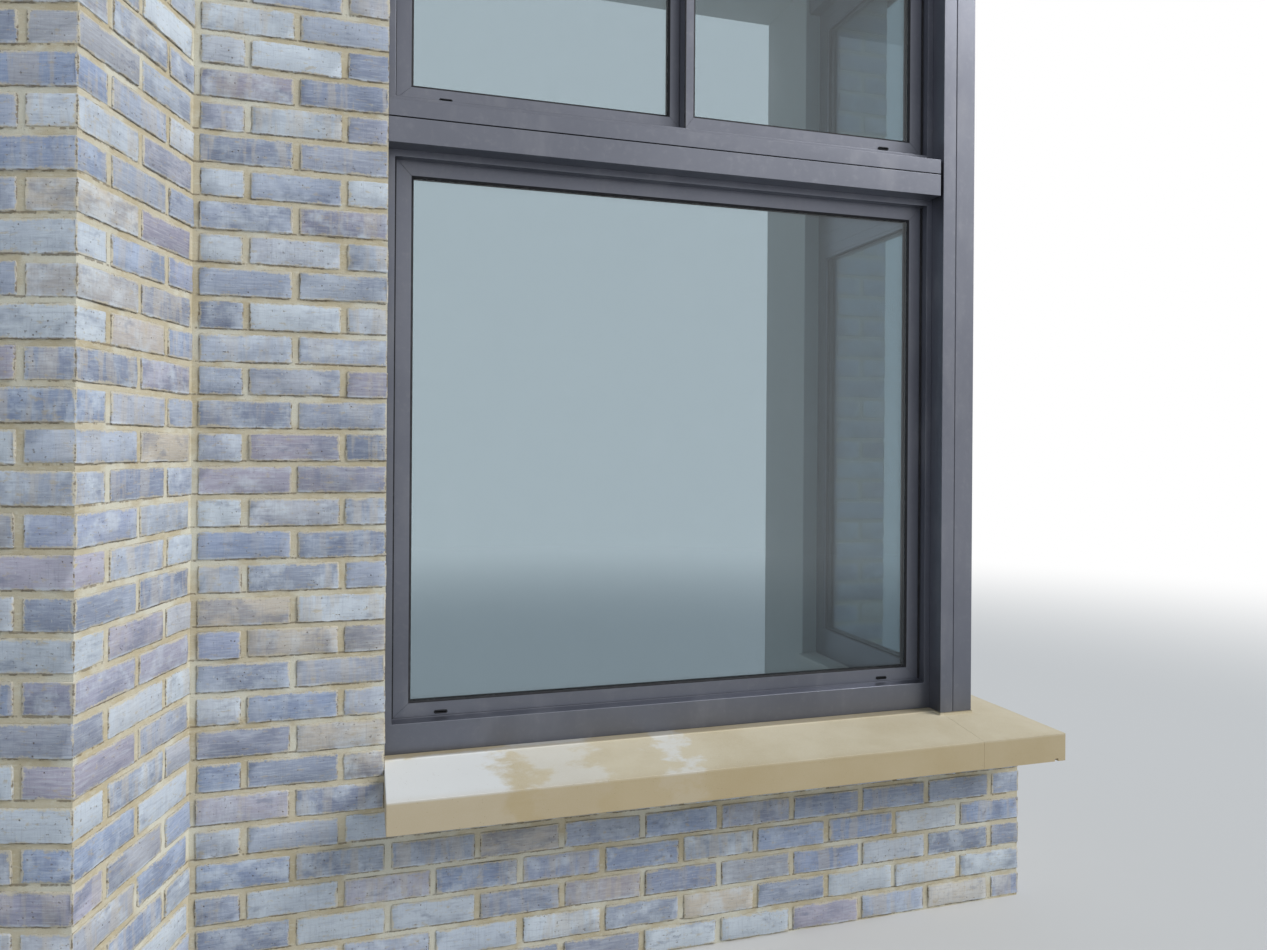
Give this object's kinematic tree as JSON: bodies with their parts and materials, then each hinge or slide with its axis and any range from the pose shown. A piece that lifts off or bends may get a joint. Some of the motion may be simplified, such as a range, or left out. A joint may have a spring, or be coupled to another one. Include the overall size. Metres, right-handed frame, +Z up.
{
  "type": "corner bay window",
  "caption": "Corner bay of a brick house: pier and low apron with a sloping stone sill, bronze metal windows round the corner, flat roof, and the angled wing wall beside it",
  "frame": {"origin": "At ground level, in the middle of the plan's bounding box", "axes": "+X along the bay's front to the right seen from outside, +Y from the front into the house, +Z up"},
  "size_m": [3.177, 1.541, 3.339],
  "materials": {
    "brick": "rough handmade clay brick, pale blue-grey with buff mortar",
    "sill_stone": "sawn honey limestone, weathered pale on top",
    "bronze_metal": "satin bronze-grey coating",
    "window_glass": "clear double glazing",
    "ceiling_plaster": "matt white plasterboard",
    "roof_timber": "rough sawn boarding",
    "roof_membrane": "matt dark grey membrane",
    "painted_timber": "eggshell paint"
  },
  "bodies": {
    "root": {"wing_front_wall": "brick", "wing_side_wall": "brick", "left_pier": "brick", "front_apron": "brick", "side_apron": "brick", "right_pier": "brick", "front_sill": "sill_stone", "corner_sill": "sill_stone", "side_sill": "sill_stone", "lower_front_frame": "bronze_metal", "lower_front_sash": "bronze_metal", "lower_front_glass": "window_glass", "lower_front_beads": "bronze_metal", "lower_side_frame": "bronze_metal", "lower_side_sash": "bronze_metal", "lower_side_glass": "window_glass", "lower_side_beads": "bronze_metal", "front_transom_cover": "bronze_metal", "side_transom_cover": "bronze_metal", "front_transom_band": "bronze_metal", "side_transom_band": "bronze_metal", "upper_front_frame": "bronze_metal", "upper_left_panel": "bronze_metal", "upper_left_glass": "window_glass", "upper_left_beads": "bronze_metal", "upper_right_panel": "bronze_metal", "upper_right_glass": "window_glass", "upper_right_beads": "bronze_metal", "upper_side_frame": "bronze_metal", "upper_side_sash": "bronze_metal", "upper_side_glass": "window_glass", "upper_side_beads": "bronze_metal", "corner_post": "bronze_metal", "front_head_beam": "bronze_metal", "side_head_beam": "bronze_metal", "ceiling_board": "ceiling_plaster", "roof_deck": "roof_timber", "roof_covering": "roof_membrane", "roof_edge_trim": "bronze_metal", "front_window_board": "painted_timber", "side_window_board": "painted_timber"}
  },
  "joints": []
}
